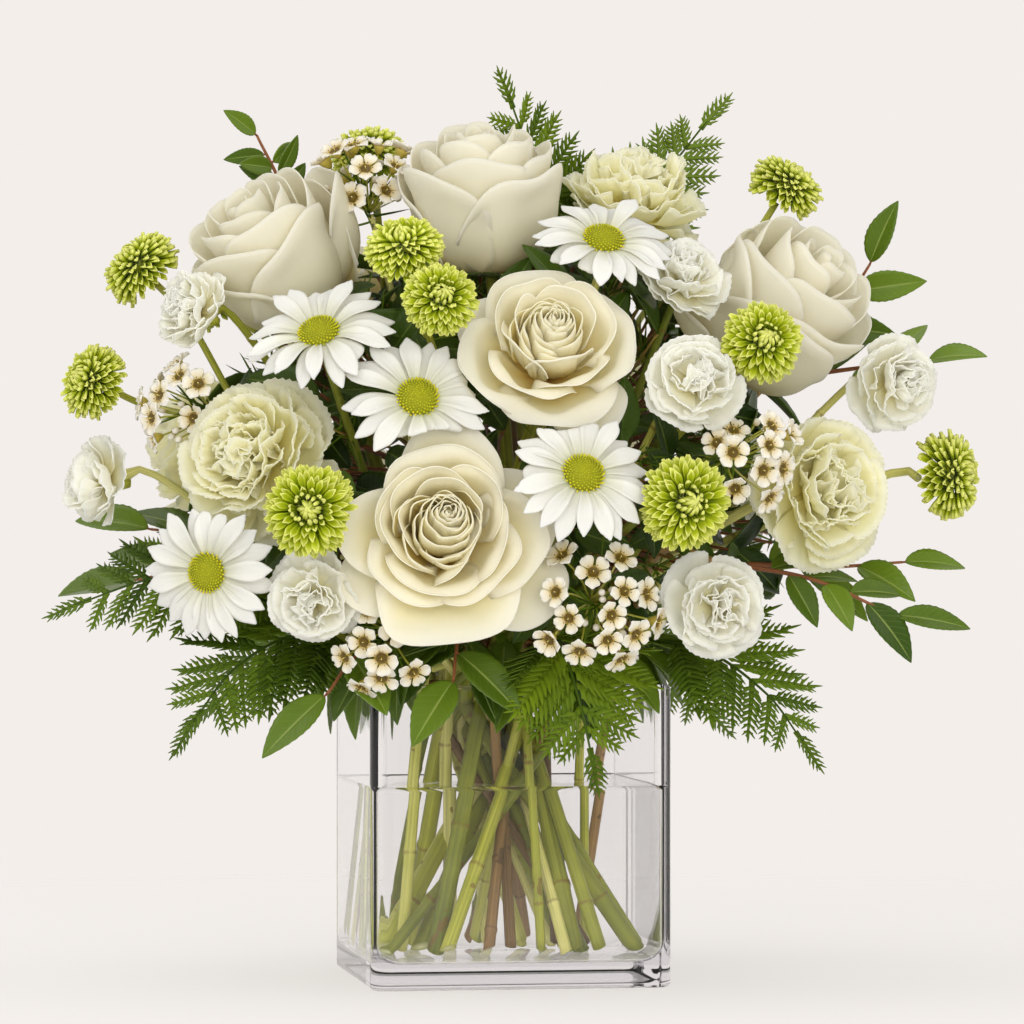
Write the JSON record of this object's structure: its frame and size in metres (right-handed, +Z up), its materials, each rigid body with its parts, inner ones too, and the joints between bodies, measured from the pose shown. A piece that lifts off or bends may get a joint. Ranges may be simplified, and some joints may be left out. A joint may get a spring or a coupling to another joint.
{
  "type": "floral table centerpiece",
  "caption": "Domed bouquet of cream roses, carnations, daisies, button poms and waxflower with fern and leafy shoots, standing in a clear glass cube vase of water.",
  "frame": {"origin": "centre of the vase's flat underside, on the surface that it stands on", "axes": "+Z up; the vase's sides are square to X and Y, and the bouquet's fuller front faces -Y"},
  "size_m": [0.4047, 0.3059, 0.3908],
  "materials": {
    "glass": "gloss",
    "water": "gloss",
    "stem": "satin",
    "rose": "satin",
    "carnation": "matte",
    "daisy": "satin",
    "disc": "matte",
    "pom": "satin",
    "mini": "matte",
    "waxflower": "satin",
    "fern": "satin",
    "leaf": "gloss"
  },
  "bodies": {
    "root": {"rose_front": "rose", "rose_centre": "rose", "rose_top": "rose", "rose_left": "rose", "rose_right": "rose", "rose_back_high": "rose", "rose_back_right": "rose", "rose_back_low": "rose", "carnation_left": "carnation", "carnation_right": "carnation", "carnation_top": "carnation", "carnation_back_top": "carnation", "carnation_back_left": "carnation", "daisy_centre_rays": "daisy", "daisy_middle_rays": "daisy", "daisy_upper_left_rays": "daisy", "daisy_upper_rays": "daisy", "daisy_left_low_rays": "daisy", "daisy_back": "daisy", "daisy_back_right": "daisy", "daisy_back_low": "daisy", "daisy_centre_disc": "disc", "daisy_middle_disc": "disc", "daisy_upper_left_disc": "disc", "daisy_upper_disc": "disc", "daisy_left_low_disc": "disc", "poms_left": "pom", "poms_upper": "pom", "pom_centre_right": "pom", "poms_right_high": "pom", "pom_right_far": "pom", "pom_front_left": "pom", "pom_front_right": "pom", "poms_back": "pom", "mini_left_high": "mini", "mini_left_far": "mini", "mini_front_left": "mini", "mini_centre_right": "mini", "mini_right_far": "mini", "mini_front_right": "mini", "mini_upper_right": "mini", "waxflower_top_left": "waxflower", "waxflower_left": "waxflower", "waxflower_right": "waxflower", "waxflower_front_right": "waxflower", "waxflower_front_left": "waxflower", "waxflower_back": "waxflower", "ferns_left": "fern", "fern_front": "fern", "fern_right": "fern", "ferns_top": "fern", "ferns_back": "fern", "shoot_top_left": "leaf", "shoot_right_high": "leaf", "shoot_right_low": "leaf", "shoot_rim_front": "leaf", "shoot_back": "leaf", "stems": "stem", "water": "water", "vase": "glass"}
  },
  "joints": []
}
